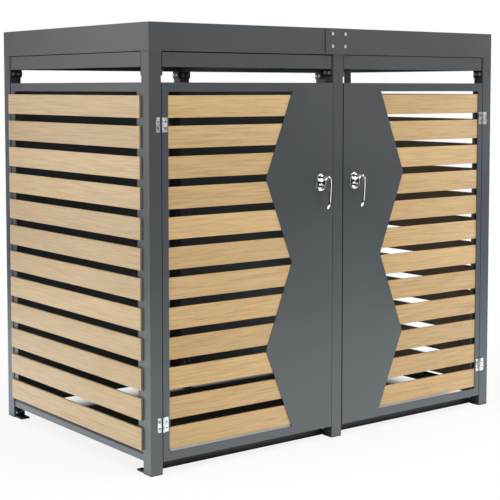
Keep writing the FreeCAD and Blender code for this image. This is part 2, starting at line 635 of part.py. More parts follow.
def make_lock(place, across):
    lock_x = side(across, "handle_across")
    key_up = "(lever_height - key_drop)"
    front = side(-1, HALF_DEPTH)
    rose_front = side(-1, ROSE_FRONT)

    rose = new_body(place + "_rose")
    oval(rose, rose_front, front, lock_x)
    prism(rose, "XZ_Plane", rose_front + " - 1", front + " + 1",
          [(lock_x, "lever_height", SPINDLE_CORNER + " + turn_slack"),
           (lock_x, key_up, "barrel_radius")], cut=True)

    barrel = new_body(place + "_lock_barrel")
    barrel_front = rose_front + " - barrel_proud"
    barrel_back = front + " + barrel_back"
    prism(barrel, "XZ_Plane", barrel_front, barrel_back,
          [(lock_x, key_up, "barrel_radius"), (lock_x, key_up, "barrel_bore + turn_slack")])

    plug = new_body(place + "_key_plug")
    prism(plug, "XZ_Plane", barrel_front, barrel_back + " + air", [(lock_x, key_up, "barrel_bore")])
    prism(plug, "XZ_Plane", barrel_front + " - 1", barrel_front + " + key_slot_deep",
          [rect(lock_x + " - key_slot / 2", key_up + " - key_slot_length / 2",
                lock_x + " + key_slot / 2", key_up + " + key_slot_length / 2")], cut=True)

    lever = new_body(place + "_lever")
    boss_back = rose_front + " - air"
    boss_front = boss_back + " - boss_length"
    spindle_front = boss_front + " + boss_cap"
    bar_x = lock_x + " + grip_shift"
    profile = sketch_on(lever, "XZ_Plane", boss_back + " - boss_length / 2")
    draw_polygon(profile, rect(bar_x + " - grip_width / 2", "lever_height - grip_thick / 2",
                               bar_x + " + grip_width / 2", "lever_height + grip_thick / 2"))
    path = sketch_on(lever, "YZ_Plane", bar_x)
    draw_bar_path(path)
    bar = lever.newObject("PartDesign::AdditivePipe", lever.Label + "_bar")
    bar.Profile = profile
    bar.Spine = path
    doc.recompute()
    prism(lever, "XZ_Plane", boss_front, boss_back, [(lock_x, "lever_height", "boss_radius")])
    half = "spindle_side / 2"
    square = rect("%s - %s" % (lock_x, half), "lever_height - " + half,
                  "%s + %s" % (lock_x, half), "lever_height + " + half)
    prism(lever, "XZ_Plane", spindle_front, boss_back + " + 1", [square], cut=True)

    spindle = new_body(place + "_spindle")
    cam_front = side(-1, CAM_FRONT)
    cam_back = cam_front + " + cam_thick"
    prism(spindle, "XZ_Plane", spindle_front, cam_back + " + spindle_end", [square])

    cam = new_body(place + "_cam")
    half = "cam_width / 2"
    tip = "lever_height + cam_reach"
    prism(cam, "XZ_Plane", cam_front, cam_back,
          [[(lock_x + " - " + half, "lever_height - cam_tail"),
            (lock_x + " + " + half, "lever_height - cam_tail"),
            (lock_x + " + " + half, tip + " - cam_corner"),
            (lock_x + " + " + half + " - cam_corner", tip),
            (lock_x + " - " + half + " + cam_corner", tip),
            (lock_x + " - " + half, tip + " - cam_corner")]])
    prism(cam, "XZ_Plane", cam_front + " - 1", cam_back + " + 1", [square], cut=True)


for across, place in ((-1, "left"), (1, "right")):
    make_door(place, across)
    make_lock(place, across)


# Checks and the files
doc.recompute()
for item in doc.Objects:
    troubled = [word for word in item.State if word in ("Invalid", "Error")]
    if troubled:
        raise RuntimeError("%s: %s" % (item.Label, item.State))
for before, made in CUTS:
    if made.Shape.Volume >= before.Shape.Volume - 0.01:
        raise RuntimeError("%s cuts nothing" % made.Label)
for body in PIECES:
    if body.Shape.isNull() or not body.Shape.isValid() or not body.Shape.Solids:
        raise RuntimeError("%s has no sound shape" % body.Label)

os.makedirs("parts", exist_ok=True)
for body in PIECES:
    body.Shape.exportStep("parts/%s.step" % body.Label)
    print(body.Label, len(body.Shape.Solids), "solids")
print(len(PIECES), "pieces")
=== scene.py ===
import json
import math

import bmesh
import bpy
from bpy.props import FloatProperty, FloatVectorProperty, IntProperty, PointerProperty
from mathutils import Matrix, Vector


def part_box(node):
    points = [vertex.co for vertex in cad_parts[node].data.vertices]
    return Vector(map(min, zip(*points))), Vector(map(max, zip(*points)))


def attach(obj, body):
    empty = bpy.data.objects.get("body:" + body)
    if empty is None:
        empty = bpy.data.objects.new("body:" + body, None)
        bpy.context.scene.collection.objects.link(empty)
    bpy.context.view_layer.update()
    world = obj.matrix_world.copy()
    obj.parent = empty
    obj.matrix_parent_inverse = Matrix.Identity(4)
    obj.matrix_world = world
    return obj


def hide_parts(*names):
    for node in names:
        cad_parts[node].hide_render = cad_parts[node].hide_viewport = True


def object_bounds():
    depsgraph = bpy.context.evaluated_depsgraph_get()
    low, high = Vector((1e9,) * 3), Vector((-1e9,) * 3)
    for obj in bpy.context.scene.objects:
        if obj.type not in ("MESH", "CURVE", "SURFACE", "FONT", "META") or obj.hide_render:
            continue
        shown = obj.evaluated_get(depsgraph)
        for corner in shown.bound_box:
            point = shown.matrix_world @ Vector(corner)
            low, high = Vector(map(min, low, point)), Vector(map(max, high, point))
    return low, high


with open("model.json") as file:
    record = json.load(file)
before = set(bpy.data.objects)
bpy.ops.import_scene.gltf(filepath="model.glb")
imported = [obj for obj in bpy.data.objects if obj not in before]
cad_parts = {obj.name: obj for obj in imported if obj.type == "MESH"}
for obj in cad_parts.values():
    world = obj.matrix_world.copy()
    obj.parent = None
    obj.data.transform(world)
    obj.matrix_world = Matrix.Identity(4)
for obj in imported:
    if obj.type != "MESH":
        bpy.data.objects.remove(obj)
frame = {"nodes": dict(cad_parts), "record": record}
SOLIDS_BOX = [list(corner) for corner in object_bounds()]
BODY_OF = {node: body for body, nodes in frame["record"]["behaviour"]["bodies"].items()
           for node in nodes}
# Points this near to the end of a shape are on its wall.
WALL_REACH = 0.0025
# Colour of the boards' cut ends, and its share on the backs of the side boards, where it is painted
# shade on the faces turned into the store.
BOARD_CUT = (0.330, 0.270, 0.210, 1.0)
BOARD_BACK_SHADE = 0.85
# Share of the tone that is left in a line of painted shade. Each line has its distance from the part
# that it follows, half its width, and the distance from its middle where it has faded.
SHADE_LINE_TONE = 0.08
HINGE_SHADE_LINE = (0.0022, 0.0008, 0.0015)
SLAT_SHADOW_LINE = (-0.0086, 0.0034, 0.0040)
# Radius to the corners and height of the bolts' heads, and the same of the roof's screws.
BOLT_HEAD = (0.0055, 0.0040)
SCREW_HEAD = (0.0042, 0.0025)
# The rose's plate: how far each ring is drawn in and how high it lies, as shares.
ROSE_PLATE = ((0.0, 0.0), (0.0, 0.24), (0.012, 0.28), (0.05, 0.30), (0.50, 0.31))
# The lever's boss: radius and distance from its seat.
BOSS = ((0, -0.0002), (0.0080, -0.0002), (0.0084, 0.0010), (0.0080, 0.0020), (0.0066, 0.0036),
        (0.0062, 0.0120), (0.0054, 0.0140), (0.0036, 0.0149), (0, 0.0150))
# The lever's bar: its start from the seat, its bend's radius, its place beside the axis, and its
# foot's height over the solid's and turn back in degrees.
LEVER_ROOT = 0.0110
LEVER_BEND = 0.0110
LEVER_SHIFT = 0.0012
LEVER_FOOT = 0.0030
HOOK_TURN = 26
# Shares of the bar's way where the arm, the move beside the axis and the bend end, and the share
# of the hanging part where the hook starts.
ARM_END = 0.30
SHIFT_END = 0.45
BEND_END = 0.55
HOOK_START = 0.84
# Rivets in a hinge leaf: shares of its height, distance from its outer edge, and their height.
RIVET_LEVELS = (0.28, 0.70)
RIVET_INSET = 0.0062
RIVET_RISE = 0.0011
# The floor glows in reflections only, a painted reflection of a bright floor: how far under the store
# its light begins and how far outside it is full, what is left of it far away, and its tint. Then the
# tint of the light from all round.
GLOW_UNDER = 0.03
GLOW_FULL = 0.02
GLOW_END = 0.03
GLOW_TINT = (0.93, 0.98, 1.0, 1.0)
SKY_TINT = (0.93, 0.96, 1.0, 1.0)
WHITE = (1.0, 1.0, 1.0, 1.0)
# Each lamp's place, size, power and whether reflections show it.
LAMPS = (
    ("Top Softbox", (0.0, -0.8, 4.4), 4.6, 205, True),
    ("Left Softbox", (-4.6, -0.6, 1.9), 2.4, 60, False),
    ("Sheen Panel", (-4.4, 3.8, 1.5), 3.2, 75, True),
    ("Front Softbox", (0.3, -5.2, 1.4), 2.0, 64, False),
    ("Fascia Panel", (3.3, -4.8, 2.3), 2.4, 24, True),
    ("Right Softbox", (4.4, -1.4, 0.8), 2.2, 62, True),
)
LAMP_TARGET = Vector((0, 0, 0.6))
# The camera's place, its angle below the level, its turn to the right and its upward shift.
CAMERA_PLACE = (-2.4998, -3.2466, 1.0403)
CAMERA_DOWN = 4.097
CAMERA_TURN = 37.512
CAMERA_SHIFT = -0.14

bl_info = {
    "name": "Wheelie Bin Store",
    "version": (1, 0, 0),
    "blender": (4, 5, 0),
    "location": "View3D > Sidebar > Bin Store",
    "description": "Dresses a bin store with folded edges, timber slats, fixings, locks and finishes",
    "category": "Object",
}


def length(name, description, default):
    """A property for a length in metres."""
    return FloatProperty(name=name, description=description, default=default, min=0.0,
                         unit="LENGTH", subtype="DISTANCE", precision=4)


def colour(name, description, default):
    """A property for a colour."""
    return FloatVectorProperty(name=name, description=description, default=default, size=3,
                               min=0.0, max=1.0, subtype="COLOR")


def share_of(name, description, default):
    """A property for a share from nought to one."""
    return FloatProperty(name=name, description=description, default=default, min=0.0, max=1.0)


class StoreSizes(bpy.types.PropertyGroup):
    """Sizes of the details that the solids leave out."""

    post_edge: length("Post Edge", "Rounding along the corners of posts and rails", 0.0024)
    fold_edge: length("Fold Edge", "Rounding along the folds of sheets", 0.00077)
    roof_edge: length("Roof Edge", "Rounding along the folds of the roof", 0.0022)
    plate_edge: length("Plate Edge", "Broken edges of plates and brackets", 0.0006)
    slat_edge: length("Slat Edge", "Rounding along a slat's long edges", 0.0022)
    slat_end: length("Slat End", "Rounding round a slat's cut ends", 0.0010)
    washer: length("Washer", "Radius of the washers under the hexagon bolts", 0.0060)
    washer_thick: length("Washer Thickness", "Thickness of those washers", 0.0008)
    screw_washer: length("Screw Washer", "Radius of the washers under the roof screws", 0.0052)
    rivet: length("Rivet", "Radius of the rivets in the hinge leaves", 0.0026)
    leaf: length("Leaf", "From the back of a hinge leaf to its face", 0.0020)
    rose_dome: length("Rose Dome", "Radius of the dome under the lever", 0.0128)
    key_dome: length("Key Dome", "Radius of the dome round the key", 0.0112)
    lever_neck: length("Lever Neck", "Thickness of the lever's arm where it leaves the boss", 0.0060)
    lever_width: length("Lever Width", "Width of the lever's grip at its foot", 0.0092)
    lever_thick: length("Lever Thickness", "Thickness of the lever's grip", 0.0058)
    lever_rise: length("Lever Rise", "How far the lever's arm climbs before it bends down", 0.0050)
    lever_lean: length("Lever Lean", "How far the grip's foot comes back to the door", 0.0032)
    lever_return: length("Lever Return", "How far the grip's foot swings back to the axis", 0.0065)
    rail_gap: length("Rail Gap", "Open line between the top rails and the roof", 0.0015)
    seam_shift: length("Seam Shift", "How far the doors sit off to the right at the middle", 0.0008)


class StoreFinish(bpy.types.PropertyGroup):
    """Colours of the store and the seed of its boards."""

    paint: colour("Frame Paint", "Powder coat of frame, roof and sheets", (0.056, 0.064, 0.069))
    dark: colour("Bracket Paint", "Coating of brackets and bolts", (0.012, 0.013, 0.015))
    board_light: colour("Board Light", "Pale wood of the door slats", (0.620, 0.422, 0.204))
    board_dark: colour("Board Dark", "Dark grain of the door slats", (0.42, 0.262, 0.112))
    # Painted sheen: the side slats are the same wood as the door slats, made paler and cooler to
    # stand in for light glancing off the sides.
    side_light_with_sheen: colour("Side Light With Sheen", "Pale wood of the side slats", (0.685, 0.512, 0.312))
    side_dark_with_sheen: colour("Side Dark With Sheen", "Dark grain of the side slats", (0.52, 0.365, 0.200))
    chrome: colour("Chrome", "Plating of the locks", (0.82, 0.83, 0.84))
    zinc: colour("Zinc", "Plating of hinges and screws", (0.70, 0.71, 0.72))
    key: colour("Key Plug", "Metal of the key plugs", (0.30, 0.28, 0.24))
    seed: IntProperty(name="Seed", description="Picks the grain of each board", default=7, min=0)


class StoreStage(bpy.types.PropertyGroup):
    """Floor, lamps and camera."""

    floor: colour("Floor", "Colour of the floor", (0.90, 0.90, 0.90))
    # Painted shade: the floor inside the store, moved a little back and to the right, is darker,
    # standing in for the store's shadow.
    inner: share_of("Inner Shade", "Tone of the floor inside the store as a share of the rest", 0.10)
    shade_shift: length("Shade Shift", "How far the inner shade lies back and to the right", 0.092)
    shade_deep: length("Shade Deep", "From the shade's edge to where it is full", 0.158)
    shade_edge: length("Shade Edge", "From the shade's edge to where it ends, inwards", 0.008)
    near: length("Near", "Distance from the store where the floor starts to turn white", 0.15)
    far: length("Far", "Distance from the store where the floor is all white", 1.5)
    # Painted reflection: the near floor glows, but only in reflections.
    glow: FloatProperty(
        name="Glow", description="Brightness of the near floor in reflections", default=2.4, min=0.0,
    )
    glow_near: length("Glow Near", "Distance where the floor's reflection starts to fade", 1.2)
    glow_far: length("Glow Far", "Distance where the floor's reflection is dark", 2.4)
    lift: share_of("Lift", "Share of plain white in the near floor that the camera sees", 0.86)
    sky: share_of("Sky", "Strength of the light from all round", 0.06)
    lens: FloatProperty(
        name="Lens", description="Focal length of the camera in millimetres", default=92.2,
        min=1.0, unit="CAMERA",
    )


# Meshes
def linked(name, data):
    """A new object with that data in the scene."""
    made = bpy.data.objects.new(name, data)
    bpy.context.scene.collection.objects.link(made)
    return made


def mesh_object(name, shape, crease=32):
    """An object of that shape, which is used up. Edges above the crease angle are sharp."""
    for face in shape.faces:
        face.smooth = True
    for edge in shape.edges:
        edge.smooth = edge.is_manifold and edge.calc_face_angle(0.0) < math.radians(crease)
    mesh = bpy.data.meshes.new(name)
    shape.to_mesh(mesh)
    shape.free()
    return linked(name, mesh)


def paint_with(piece, cover):
    """Gives a piece one material, by its name."""
    piece.data.materials.clear()
    piece.data.materials.append(material(cover))


def settle(piece, cover, node=None, body=None):
    """Gives a finished piece its material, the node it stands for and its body."""
    paint_with(piece, cover)
    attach(piece, body or BODY_OF[node])
    if node:
        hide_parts(node)


def middle_of(node):
    """The middle of a node's box."""
    low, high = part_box(node)
    return (low + high) / 2


def welded(node):
    """A copy of a node's triangles with the points that lie together made one."""
    shape = bmesh.new()
    shape.from_mesh(frame["nodes"][node].data)
    bmesh.ops.remove_doubles(shape, verts=shape.verts, dist=1e-6)
    return shape


def round_edges(piece, width, segments):
    """Rounds a piece's sharp edges and keeps its faces flat."""
    bevel = piece.modifiers.new("Edges", "BEVEL")
    bevel.width = width
    bevel.segments = segments
    bevel.limit_method = "ANGLE"
    bevel.angle_limit = math.radians(38)
    bevel.use_clamp_overlap = True
    bevel.miter_outer = "MITER_ARC"
    even = piece.modifiers.new("Flat Faces", "WEIGHTED_NORMAL")
    even.mode = "FACE_AREA"
    even.weight = 100


def dress(node, cover, width, segments=2, trim=None):
    """Replaces a node by its own shape, joined into flat faces, with broken edges.

    A trim of (axis, side, amount) draws the wall at that end of the shape inwards.
    """
    shape = welded(node)
    bmesh.ops.dissolve_limit(
        shape, angle_limit=math.radians(0.6), verts=shape.verts, edges=shape.edges
    )
    bmesh.ops.connect_verts_concave(shape, faces=shape.faces)
    if trim:
        axis, side, amount = trim
        end = max(side * vert.co[axis] for vert in shape.verts)
        for vert in shape.verts:
            if side * vert.co[axis] > end - WALL_REACH:
                vert.co[axis] -= side * amount
    piece = mesh_object(node + "_finished", shape, crease=181)
    round_edges(piece, width, segments)
    settle(piece, cover, node)


def solids_of(node):
    """The corners (low, high) of each separate solid in a node."""
    shape = welded(node)
    left = set(shape.verts)
    found = []
    while left:
        stack = [left.pop()]
        group = []
        while stack:
            vert = stack.pop()
            group.append(vert.co.copy())
            for edge in vert.link_edges:
                other = edge.other_vert(vert)
                if other in left:
                    left.discard(other)
                    stack.append(other)
        found.append([Vector([pick(p[k] for p in group) for k in range(3)])
                      for pick in (min, max)])
    shape.free()
    found.sort(key=lambda item: tuple(round(c, 4) for c in item[0]))
    return found


def circle(count, radius, start=0.0):
    """Points round a circle as (across, up), the first of them a part of a step after +X."""
    angles = [2 * math.pi * (step + start) / count for step in range(count)]
    return [(radius * math.cos(angle), radius * math.sin(angle)) for angle in angles]


def turned(profile, segments, shape=None, matrix=None):
    """A shape turned about Z from (radius, height) pairs, closed where the radius is nought."""
    shape = shape or bmesh.new()
    rings = []
    for radius, level in profile:
        ring = circle(segments if radius > 1e-7 else 1, radius)
        rings.append([shape.verts.new((x, y, level)) for x, y in ring])
    verts = [vert for ring in rings for vert in ring]
    for near, far in zip(rings, rings[1:]):
        for step in range(segments):
            after = (step + 1) % segments
            if len(near) == 1 and len(far) > 1:
                shape.faces.new((near[0], far[after], far[step]))
            elif len(far) == 1 and len(near) > 1:
                shape.faces.new((near[step], near[after], far[0]))
            elif len(near) > 1 and len(far) > 1:
                shape.faces.new((near[step], near[after], far[after], far[step]))
    if matrix:
        bmesh.ops.transform(shape, matrix=matrix, verts=verts)
    bmesh.ops.recalc_face_normals(shape, faces=shape.faces)
    return shape


def stacked(rings, shape=None):
    """A closed skin over rings of points that all have the same count."""
    shape = shape or bmesh.new()
    made = [[shape.verts.new(point) for point in ring] for ring in rings]
    for near, far in zip(made, made[1:]):
        for step in range(len(near)):
            after = (step + 1) % len(near)
            shape.faces.new((near[step], near[after], far[after], far[step]))
    shape.faces.new(list(reversed(made[0])))
    shape.faces.new(made[-1])
    bmesh.ops.recalc_face_normals(shape, faces=shape.faces)
    return shape


# Shader groups and materials
def new_node(tree, kind, column, row, inputs=(), **settings):
    """The outputs of a new node on a grid. Each of its inputs is given a value or a socket."""
    node = tree.nodes.new(kind)
    node.location = (column * 220, -row * 260)
    for name, value in settings.items():
        setattr(node, name, value)
    for key, item in dict(inputs).items():
        if isinstance(item, bpy.types.NodeSocket):
            tree.links.new(item, node.inputs[key])
        else:
            node.inputs[key].default_value = item
    return node.outputs


def group_tree(kind, name, inputs, outputs):
    """A node group's tree with inputs (name, kind, default) and outputs (name, kind)."""
    tree = bpy.data.node_groups.new(name, kind)
    for label, socket, default in inputs:
        made = tree.interface.new_socket(
            name=label, in_out="INPUT", socket_type="NodeSocket" + socket)
        if default is not None:
            made.default_value = default
    for label, socket in outputs:
        tree.interface.new_socket(name=label, in_out="OUTPUT", socket_type="NodeSocket" + socket)
    return tree, new_node(tree, "NodeGroupInput", 0, 0)


def maths(tree, operation, column, row, *values):
    """A maths node. Each value is a number or a socket."""
    return new_node(tree, "ShaderNodeMath", column, row, enumerate(values),
                    operation=operation)[0]


def noise(tree, column, row, vector, scale, stretch=None, detail=2.0, distortion=0.0):
    """A noise value on a vector, which may first be stretched."""
    if stretch:
        vector = new_node(tree, "ShaderNodeVectorMath", column - 1, row, {0: vector, 1: stretch},
                          operation="MULTIPLY")[0]
    return new_node(tree, "ShaderNodeTexNoise", column, row, {
        "Vector": vector, "Scale": scale, "Detail": detail,
        "Distortion": distortion})["Fac"]


def spread(tree, column, row, value, low, high, new_low=0.0, new_high=1.0):
    """A value moved from the range of low and high to the new range, and held inside it."""
    return new_node(tree, "ShaderNodeMapRange", column, row, {
        "Value": value, "From Min": low, "From Max": high, "To Min": new_low,
        "To Max": new_high})["Result"]


def blend(tree, column, row, factor, first, second):
    """A colour mix by a factor."""
    return new_node(tree, "ShaderNodeMix", column, row, {0: factor, 6: first, 7: second},
                    data_type="RGBA")[2]


def toned(tree, column, row, base, factor):
    """A colour made lighter or darker by a factor."""
    return new_node(tree, "ShaderNodeVectorMath", column, row, {0: base, "Scale": factor},
                    operation="SCALE")[0]


def either_shader(tree, column, row, *items):
    """A mix of two shaders by a factor, which comes first."""
    return new_node(tree, "ShaderNodeMixShader", column, row, enumerate(items))[0]


def skin_tree(name, inputs):
    """A shader group with a vector and other inputs that gives colour, roughness and height."""
    return group_tree("ShaderNodeTree", name, [("Vector", "Vector", None)] + inputs,
                      [("Colour", "Color"), ("Roughness", "Float"), ("Height", "Float")])


def coat_group():
    """Powder coat: a fine pebbled skin with a slow drift of tone."""
    tree, given = skin_tree("Powder Coat", [
        ("Colour", "Color", (0.1, 0.1, 0.1, 1)), ("Drift", "Float", 0.12),
        ("Base Roughness", "Float", 0.42)])
    slow = noise(tree, 2, 0, given["Vector"], 3.5, detail=3.0)
    speck = noise(tree, 2, 1, given["Vector"], 420.0, detail=1.0)
    pebble = noise(tree, 2, 2, given["Vector"], 950.0)
    tone = spread(tree, 3, 0, slow, 0.3, 0.7, -1.0, 1.0)
    tone = maths(tree, "MULTIPLY", 4, 0, tone, given["Drift"])
    fine = spread(tree, 3, 1, speck, 0.3, 0.7, -0.04, 0.04)
    tone = maths(tree, "ADD", 4, 1, tone, fine)
    tone = maths(tree, "ADD", 5, 1, tone, 1.0)
    rough = spread(tree, 4, 2, slow, 0.25, 0.75, -0.05, 0.06)
    rough = maths(tree, "ADD", 5, 2, rough, given["Base Roughness"])
    new_node(tree, "NodeGroupOutput", 7, 0, {
        "Colour": toned(tree, 6, 0, given["Colour"], tone), "Roughness": rough, "Height": pebble})


def grain_group():
    """Sawn boards: long figure, fine fibres and short pores, different on each board."""
    tree, given = skin_tree("Board Grain", [
        ("Board", "Float", 0.0), ("Cut", "Float", 0.0),
        ("Light", "Color", (0.7, 0.5, 0.3, 1)),
        ("Dark", "Color", (0.5, 0.3, 0.2, 1))])
    shift = toned(tree, 1, 1, (9.3, 3.1, 1.7), given["Board"])
    at = new_node(tree, "ShaderNodeVectorMath", 1, 0, {0: given["Vector"], 1: shift},
                  operation="ADD")[0]
    figure = noise(tree, 3, 0, at, 1.0, (2.0, 40.0, 50.0), detail=4.0, distortion=0.35)
    streak = noise(tree, 3, 1, at, 1.0, (9.0, 330.0, 380.0), detail=3.0)
    fibre = noise(tree, 3, 2, at, 1.0, (22.0, 900.0, 900.0))
    pores = noise(tree, 3, 3, at, 1.0, (40.0, 620.0, 620.0), detail=1.0)
    figure = spread(tree, 4, 0, figure, 0.32, 0.68, 0.0, 0.20)
    streak = spread(tree, 4, 1, streak, 0.32, 0.68, -0.30, 0.54)
    fibre = spread(tree, 4, 2, fibre, 0.3, 0.7, -0.10, 0.12)
    pore = spread(tree, 4, 3, pores, 0.62, 0.74, 0.0, 0.40)
    dark = maths(tree, "ADD", 5, 0, figure, streak)
    dark = maths(tree, "ADD", 5, 1, dark, fibre)
    dark = maths(tree, "ADD", 5, 2, dark, pore)
    dark.node.use_clamp = True
    wood = blend(tree, 6, 0, dark, given["Light"], given["Dark"])
    # Cut ends take the end colour. On the backs of the side boards the same blend is painted shade.
    wood = blend(tree, 7, 3, given["Cut"], wood, BOARD_CUT)
    tone = spread(tree, 6, 1, given["Board"], 0.0, 1.0, 0.93, 1.06)
    new_node(tree, "NodeGroupOutput", 8, 0, {
        "Colour": toned(tree, 7, 0, wood, tone),
        "Roughness": spread(tree, 7, 1, dark, 0.0, 1.0, 0.50, 0.62),
        "Height": maths(tree, "MULTIPLY", 7, 2, dark, -1.0)})


def plating_group():
    """Plated metal: short polishing streaks and a faint cloudiness."""
    tree, given = skin_tree("Plating", [
        ("Colour", "Color", (0.8, 0.8, 0.8, 1)),
        ("Base Roughness", "Float", 0.1), ("Streaks", "Float", 0.1),
        ("Clouds", "Float", 0.14)])
    streak = noise(tree, 3, 0, given["Vector"], 1.0, (90.0, 90.0, 2400.0))
    cloud = noise(tree, 2, 1, given["Vector"], 90.0)
    cloud = spread(tree, 3, 1, cloud, 0.3, 0.7, -0.75, 0.25)
    rough = maths(tree, "MULTIPLY", 4, 0, streak, given["Streaks"])
    rough = maths(tree, "ADD", 5, 0, rough, given["Base Roughness"])
    tone = maths(tree, "MULTIPLY", 4, 1, cloud, given["Clouds"])
    tone = maths(tree, "ADD", 4, 2, tone, 1.0)
    new_node(tree, "NodeGroupOutput", 6, 0, {
        "Colour": toned(tree, 5, 1, given["Colour"], tone), "Roughness": rough,
        "Height": streak})


def material(name):
    """A material by its name."""
    return bpy.data.materials[name]


def object_place(tree, row=0):
    """The place of a point on its object, for a shader."""
    return new_node(tree, "ShaderNodeTexCoord", 0, row)["Object"]


def material_tree(name):
    """The empty tree of a new material."""
    bpy.data.materials.new(name).use_nodes = True
    tree = material(name).node_tree
    tree.nodes.clear()
    return tree


def textured(name, group, values, bump, distance, settings, vector=None):
    """A material whose colour, roughness and bump come from a shader group.

    A value of None comes from the mesh's own mark of that name.
    """
    tree = material_tree(name)
    source = object_place(tree)
    if vector:
        source = new_node(tree, "ShaderNodeMapping", 1, 0, {
            "Vector": source, "Rotation": vector})["Vector"]
    given = {"Vector": source}
    for row, (key, value) in enumerate(values.items()):
        if value is None:
            value = new_node(tree, "ShaderNodeAttribute", 1, row + 1,
                             attribute_name=key.lower())["Fac"]
        given[key] = value
    inner = new_node(tree, "ShaderNodeGroup", 3, 0, given,
                     node_tree=bpy.data.node_groups[group])
    relief = new_node(tree, "ShaderNodeBump", 4, 1, {
        "Strength": bump, "Distance": distance, "Height": inner["Height"]})
    skin = new_node(tree, "ShaderNodeBsdfPrincipled", 5, 0, {
        "Base Color": inner["Colour"], "Roughness": inner["Roughness"],
        "Normal": relief["Normal"], **settings})
    new_node(tree, "ShaderNodeOutputMaterial", 6, 0, {"Surface": skin["BSDF"]})
    return material(name)


def shade_line(cover, axis, place, line, reach=None):
    """Paints shade into a material: darker in a line at one distance from the middle along an axis.

    With a reach along Y, the line ends there and loses its shine too.
    """
    tree = cover.node_tree
    skin = [node for node in tree.nodes if node.type == "BSDF_PRINCIPLED"][0]
    clean = skin.inputs["Base Color"].links[0].from_socket
    parts = new_node(tree, "ShaderNodeSeparateXYZ", 1, 3, {0: object_place(tree, 3)})
    across = maths(tree, "ABSOLUTE", 1, 4, parts[axis])
    away = maths(tree, "SUBTRACT", 2, 3, across, place + line[0])
    away = maths(tree, "ABSOLUTE", 3, 4, away)
    shade = spread(tree, 4, 3, away, line[1], line[2], SHADE_LINE_TONE, 1.0)
    if reach is not None:
        along = maths(tree, "ABSOLUTE", 1, 5, parts["Y"])
        past = spread(tree, 4, 5, along, reach, reach + 0.001)
        shade = maths(tree, "MAXIMUM", 5, 4, shade, past)
        tree.links.new(maths(tree, "SUBTRACT", 5, 5, 1.0, shade), skin.inputs["Metallic"])
    tree.links.new(toned(tree, 4, 0, clean, shade), skin.inputs["Base Color"])


def solid_colour(values, tone=1.0):
    """A colour for a socket, made darker by a tone."""
    return (*(part * tone for part in values), 1.0)


def plated(name, values, rough, streaks, bump, depth, metallic, **others):
    """A plated material, with the strength and the depth of its bump and its metal share."""
    given = {"Colour": values, "Base Roughness": rough, "Streaks": streaks, **others}
    return textured(name, "Plating", given, bump, depth, {"Metallic": metallic})


def make_materials():
    """Makes the shader groups and every material of the store."""
    finish = bpy.context.scene.store_finish
    coat_group()
    grain_group()
    plating_group()
    for name in ("Frame Paint", "Side Frame Paint"):
        textured(name, "Powder Coat",
                 {"Colour": solid_colour(finish.paint), "Drift": 0.04, "Base Roughness": 0.34},
                 0.25, 0.0004, {"Specular IOR Level": 0.5})
    slat_low, slat_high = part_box("side_slats_left")
    # Painted shadow: a dark line on the side frames' lower border, under the lowest slat. It ends at
    # the slats' ends and loses its shine.
    shade_line(material("Side Frame Paint"), "Z", slat_low.z, SLAT_SHADOW_LINE, slat_high.y - 0.001)
    textured("Bracket Paint", "Powder Coat",
             {"Colour": solid_colour(finish.dark), "Drift": 0.15, "Base Roughness": 0.46},
             0.35, 0.0005, {})
    # The side boards' paler colours are painted sheen on the same wood as the doors.
    for name, light, dark, shine, turn in (
            ("Door Boards", finish.board_light, finish.board_dark, 0.4, None),
            ("Side Boards", finish.side_light_with_sheen, finish.side_dark_with_sheen, 0.5, (0, 0, math.radians(90)))):
        textured(name, "Board Grain",
                 {"Board": None, "Cut": None, "Light": solid_colour(light),
                  "Dark": solid_colour(dark)},
                 0.35, 0.0006, {"Specular IOR Level": shine}, vector=turn)
    zinc = solid_colour(finish.zinc)
    plated("Bolt Finish", solid_colour(finish.zinc, 0.55), 0.24, 0.2, 0.1, 0.0002, 0.9)
    plated("Lock Chrome", solid_colour(finish.chrome), 0.05, 0.06, 0.05, 0.0001, 1.0)
    plated("Bright Zinc", zinc, 0.24, 0.2, 0.15, 0.0001, 1.0)
    plated("Hinge Rivets", solid_colour(finish.zinc, 0.16), 0.35, 0.2, 0.1, 0.0002, 0.6)
    plated("Key Plug", solid_colour(finish.key), 0.2, 0.25, 0.1, 0.0001, 1.0)
    hinge = plated("Hinge Zinc", zinc, 0.30, 0.2, 0.15, 0.0001, 0.55, Clouds=0.75)
    # Painted shade: a dark line in the groove beside each hinge knuckle.
    shade_line(hinge, "X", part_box("hinge_pins")[1].x, HINGE_SHADE_LINE)


# Geometry node trees
def geometry_tree(name, inputs):
    """A geometry tree with a geometry and other inputs."""
    return group_tree("GeometryNodeTree", name, [("Geometry", "Geometry", None)] + inputs,
                      [("Geometry", "Geometry")])


def board_row_tree():
    """One board repeated downwards, each with its own random number for the grain."""
    tree, given = geometry_tree("Board Row", [
        ("Count", "Int", 12), ("Pitch", "Float", 0.08),
        ("Seed", "Int", 0), ("Material", "Material", None)])
    down = maths(tree, "MULTIPLY", 1, 1, given["Pitch"], -1.0)
    step = new_node(tree, "ShaderNodeCombineXYZ", 2, 1, {"Z": down})
    line = new_node(tree, "GeometryNodeMeshLine", 3, 1, {
        "Count": given["Count"], "Offset": step[0]}, mode="OFFSET")
    copies = new_node(tree, "GeometryNodeInstanceOnPoints", 4, 0, {
        "Points": line[0], "Instance": given["Geometry"]})
    chance = new_node(tree, "FunctionNodeRandomValue", 4, 2, {"Seed": given["Seed"]},
                      data_type="FLOAT")
    store = new_node(tree, "GeometryNodeStoreNamedAttribute", 5, 0, {
        "Name": "board", "Geometry": copies[0], "Value": chance[1]},
        data_type="FLOAT", domain="INSTANCE")
    finish_tree(tree, store[0], given["Material"])


